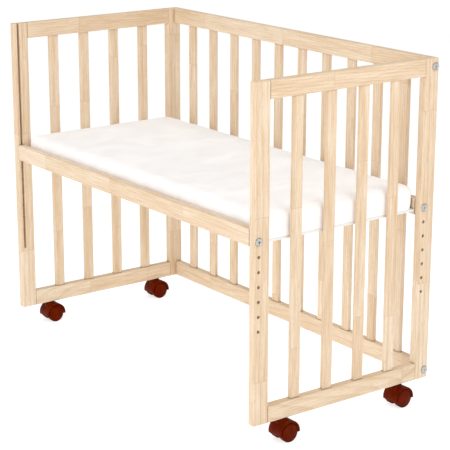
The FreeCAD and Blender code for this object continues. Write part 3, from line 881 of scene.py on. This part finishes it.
@dataclass
class Mattress:
    """A thin foam mattress in a fitted white cover, blown up a little as cloth over its foam."""

    cloth: Material
    edge_height: float = 50.0 * MM
    crown: float = 2.5 * MM
    start_inset: float = 1.4 * MM
    inset_shares: tuple[float, float, float] = (1.0, 1.0, 0.3)   # of it, along X, Y and Z
    front_room: float = 6.0 * MM
    corner_round: float = 9.0 * MM
    top_round: float = 6.0 * MM
    lower_round: float = 1.5 * MM
    voxel: float = 7.0 * MM
    pressure: float = 4.0
    frames: int = 20
    most_move: float = 2.2 * MM
    easing_passes: int = 3
    square_rise: float = 6.0 * MM
    square_round: float = 0.4 * MM

    def foam_block(self) -> BMesh:
        """Makes the foam's block, a little inside the CAD solid, with softened edges."""
        low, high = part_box("mattress")
        inset = Vector(self.inset_shares) * self.start_inset
        start = low + inset + Vector((0, self.front_room, 0))
        end = Vector((high.x, high.y, low.z + self.edge_height)) - inset
        mesh = bmesh.new()
        size = end - start
        bmesh.ops.create_cube(mesh, size=1.0, matrix=Matrix.Translation((start + end) / 2)
                              @ Matrix.Diagonal((size.x, size.y, size.z, 1.0)))
        middle = (start.z + end.z) / 2
        upright = [edge for edge in mesh.edges if abs(edge.verts[0].co.z - edge.verts[1].co.z) > size.z / 2]
        self.soften(mesh, upright, self.corner_round, 5)
        top = [edge for edge in mesh.edges if all(vert.co.z > middle for vert in edge.verts)]
        self.soften(mesh, top, self.top_round, 4)
        under = [edge for edge in mesh.edges if all(vert.co.z < middle for vert in edge.verts)]
        self.soften(mesh, under, self.lower_round, 2)
        return mesh

    def soften(self, mesh: BMesh, edges: list[BMEdge], offset: float, segments: int) -> None:
        """Rounds edges of the block.

        Args:
            mesh: The block.
            edges: Its edges to round.
            offset: How far the rounding reaches.
            segments: How many facets it has.
        """
        bmesh.ops.bevel(mesh, geom=edges, offset=offset, segments=segments, profile=0.5, affect="EDGES",
                        material=-1, clamp_overlap=True)

    def crown_top(self, piece: Object) -> None:
        """Lifts the top a little towards its middle."""
        low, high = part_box("mattress")
        middle, half = (low + high) / 2, (high - low) / 2
        for vert in piece.data.vertices:
            if vert.co.z < middle.z:
                continue
            across = 1 - ((vert.co.x - middle.x) / half.x) ** 4
            along = 1 - ((vert.co.y - middle.y) / half.y) ** 4
            vert.co.z += self.crown * max(across, 0.0) * max(along, 0.0)

    def apply(self, piece: Object) -> None:
        """Puts the evaluated mesh in place of the piece's own and drops its modifiers."""
        graph = bpy.context.evaluated_depsgraph_get()
        made = bpy.data.meshes.new_from_object(piece.evaluated_get(graph))
        piece.modifiers.clear()
        piece.data = made

    def inflate(self, piece: Object) -> None:
        """Runs the cover as cloth under pressure and keeps how far it swells, up to a limit."""
        rest = [(vert.co.copy(), vert.normal.copy()) for vert in piece.data.vertices]
        cloth = piece.modifiers.new("cover", "CLOTH")
        cloth.settings.use_pressure = True
        cloth.settings.uniform_pressure_force = self.pressure
        cloth.settings.effector_weights.gravity = 0
        scene = bpy.context.scene
        for number in range(1, self.frames + 1):
            scene.frame_set(number)
        self.apply(piece)
        scene.frame_set(1)
        for vert, (start, outward) in zip(piece.data.vertices, rest):
            swell = (vert.co - start).dot(outward)
            vert.co = start + outward * min(max(swell, 0.0), self.most_move)

    def ease_folds(self, piece: Object) -> None:
        """Evens out the small folds that the foam doesn't let form."""
        mesh = bmesh.new()
        mesh.from_mesh(piece.data)
        for _ in range(self.easing_passes):
            bmesh.ops.smooth_vert(mesh, verts=mesh.verts, factor=0.5, use_axis_x=True, use_axis_y=True,
                                  use_axis_z=True)
        mesh.to_mesh(piece.data)
        mesh.free()

    def keep_inside(self, piece: Object) -> None:
        """Holds every point inside the CAD solid's box."""
        low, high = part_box("mattress")
        for vert in piece.data.vertices:
            vert.co = Vector(min(max(vert.co[axis], low[axis]), high[axis]) for axis in range(3))

    def square_foot(self, piece: Object) -> None:
        """Takes the sides straight down to a flat underside, as foam's weight presses them."""
        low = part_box("mattress")[0]
        mesh = bmesh.new()
        mesh.from_mesh(piece.data)
        cut = bmesh.ops.bisect_plane(mesh, geom=[*mesh.verts, *mesh.edges, *mesh.faces], dist=ON_PLANE,
                                     plane_co=(0, 0, low.z + self.square_rise), plane_no=(0, 0, 1),
                                     clear_inner=True)
        ring = [item for item in cut["geom_cut"] if isinstance(item, BMEdge)]
        for height, inward in ((self.square_round, 0.0), (0.0, self.square_round)):
            ring = self.lower_ring(mesh, ring, low.z + height, inward)
        bmesh.ops.edgeloop_fill(mesh, edges=ring)
        bmesh.ops.recalc_face_normals(mesh, faces=mesh.faces)
        mesh.to_mesh(piece.data)
        mesh.free()

    def lower_ring(self, mesh: BMesh, ring: list[BMEdge], height: float, inward: float) -> list[BMEdge]:
        """Draws the open lower ring down to a height.

        Args:
            mesh: The mattress.
            ring: Its open edges.
            height: Their new Z.
            inward: How far they move in.

        Returns:
            The new open edges.
        """
        middle = middle_of("mattress")
        grown = bmesh.ops.extrude_edge_only(mesh, edges=ring)["geom"]
        for vert in (item for item in grown if isinstance(item, BMVert)):
            to_middle = Vector((middle.x - vert.co.x, middle.y - vert.co.y, 0.0)).normalized()
            vert.co += to_middle * inward
            vert.co.z = height
        return [item for item in grown if isinstance(item, BMEdge)
                and all(abs(vert.co.z - height) < ON_PLANE for vert in item.verts)]

    def build(self) -> None:
        """Makes the padded mattress that stands for the CAD solid."""
        piece = new_piece("mattress_in_cover", self.foam_block(), self.cloth)
        remesh = piece.modifiers.new("even", "REMESH")
        remesh.mode = "VOXEL"
        remesh.voxel_size = self.voxel
        self.apply(piece)
        self.crown_top(piece)
        self.inflate(piece)
        self.ease_folds(piece)
        self.keep_inside(piece)
        smooth = piece.modifiers.new("smooth", "SUBSURF")
        smooth.levels = 1
        smooth.render_levels = 1
        self.apply(piece)
        self.square_foot(piece)
        dress(piece, self.cloth)
        shade_by_angle(piece, 40)
        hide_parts("mattress")
        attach(piece, "mattress")
        log.info("mattress: %d faces", len(piece.data.polygons))


@dataclass(frozen=True)
class SoftLight:
    """A square soft light that faces the crib: its place and side in metres, and its power."""

    name: str
    place: tuple[float, float, float]
    side: float
    watts: float


@dataclass
class Studio:
    """White paper, soft light and the camera at the photograph's place."""

    # The camera's place, turn, lens and shift were fitted to corner points of the photographed crib
    camera_place: Vector = field(default_factory=lambda: Vector((2.7466, -1.9971, 1.2741)))
    camera_right: Vector = field(default_factory=lambda: Vector((0.588702, 0.808350, -0.000927)))
    camera_down: Vector = field(default_factory=lambda: Vector((0.221244, -0.162229, -0.961630)))
    lens_mm: float = 125.32
    sensor_mm: float = 36.0
    shift: tuple[float, float] = (0.031, 0.0155)
    floor_half: float = 14.0
    paper: str = "#C4C4C4"
    paper_glow: float = 0.71
    sky_strength: float = 0.52
    aim: tuple[float, float, float] = (0.0, 0.0, 0.4)
    lights: tuple[SoftLight, ...] = (
        SoftLight("front_light", (0.3, -2.3, 1.2), 1.8, 21.0),
        SoftLight("side_light", (1.75, 0.0, 1.15), 1.2, 8.3),
        SoftLight("top_light", (0.0, 0.2, 3.0), 1.6, 17.5),
    )

    def add_camera(self) -> None:
        """Puts the camera where the photograph was taken from."""
        data = bpy.data.cameras.new("camera")
        data.lens = self.lens_mm
        data.sensor_width = self.sensor_mm
        data.sensor_fit = "HORIZONTAL"
        data.shift_x, data.shift_y = self.shift
        camera = bpy.data.objects.new("camera", data)
        right = self.camera_right.normalized()
        up = -(self.camera_down - right * self.camera_down.dot(right)).normalized()
        turn = Matrix((right, up, right.cross(up))).transposed().to_4x4()
        camera.matrix_world = Matrix.Translation(self.camera_place) @ turn
        bpy.context.scene.collection.objects.link(camera)
        bpy.context.scene.camera = camera

    def add_light(self, soft: SoftLight) -> None:
        """Hangs a soft light, turned to the crib."""
        data = bpy.data.lights.new(soft.name, "AREA")
        data.size = soft.side
        data.energy = soft.watts
        light = bpy.data.objects.new(soft.name, data)
        light.location = soft.place
        light.rotation_euler = (Vector(soft.place) - Vector(self.aim)).to_track_quat("Z", "Y").to_euler()
        bpy.context.scene.collection.objects.link(light)

    def add_floor(self) -> None:
        """Lays the white paper that the crib stands on; it glows, so that it looks white all over."""
        sheet = bmesh.new()
        bmesh.ops.create_grid(sheet, x_segments=1, y_segments=1, size=self.floor_half)
        material, tree = start_material("white_paper")
        finish_material(tree, {"Base Color": linear(self.paper), "Roughness": 0.9,
                               "Emission Color": (1.0, 1.0, 1.0, 1.0),
                               "Emission Strength": self.paper_glow})
        new_piece("floor", sheet, material)

    def add_sky(self) -> None:
        """Makes a background that looks white to the camera and lights the crib more dimly."""
        world = bpy.data.worlds.new("studio")
        world.use_nodes = True
        tree = world.node_tree
        sky = tree.nodes["Background"].inputs
        sky["Color"].default_value = (1.0, 1.0, 1.0, 1.0)
        seen = add_node(tree, "LightPath").outputs["Is Camera Ray"]
        strength = add_node(tree, "MapRange", {0: seen, OUT_LOW: self.sky_strength, OUT_HIGH: 1.0})
        tree.links.new(strength.outputs[0], sky["Strength"])
        bpy.context.scene.world = world

    def build(self) -> None:
        """Sets up the camera, floor, lights and background."""
        self.add_camera()
        self.add_floor()
        for soft in self.lights:
            self.add_light(soft)
        self.add_sky()
        bpy.context.scene.view_settings.view_transform = "Standard"
        log.info("studio ready")


def main() -> None:
    """Builds the crib's looks round the frame, then its studio."""
    logging.basicConfig(level=logging.INFO, format="%(message)s")
    TimberFrame().build()
    PlainPieces().build()
    steel = ZincPlate().material("zinc_plate")
    # Painted shade for the bolts' hexagon sockets, dark where little light gets in
    socket = ZincPlate(colour="#2E2B28", roughness=0.6).material("socket_painted_shade")
    panel_places = [(side, middle_of("back_top_rail").y, middle_of(rail).z)
                    for side in Side for rail in ("back_top_rail", "back_bottom_rail")]
    ConnectorBolts("back_panel_bolts", "frame", panel_places, steel, socket).build()
    base_places = [(side, along, BASE_BOLT_Z) for side in Side for along in BASE_BOLT_Y]
    ConnectorBolts("base_bolts", "base", base_places, steel, socket).build()
    SmallFasteners(steel).build()
    nylon = BrownNylon().material("brown_nylon")
    for depth in Depth:
        for side in Side:
            TwinWheelCastor(depth, side, nylon).build()
    Mattress(CoverCloth().material("cover_cloth")).build()
    Studio().build()


if __name__ == "__main__":
    main()
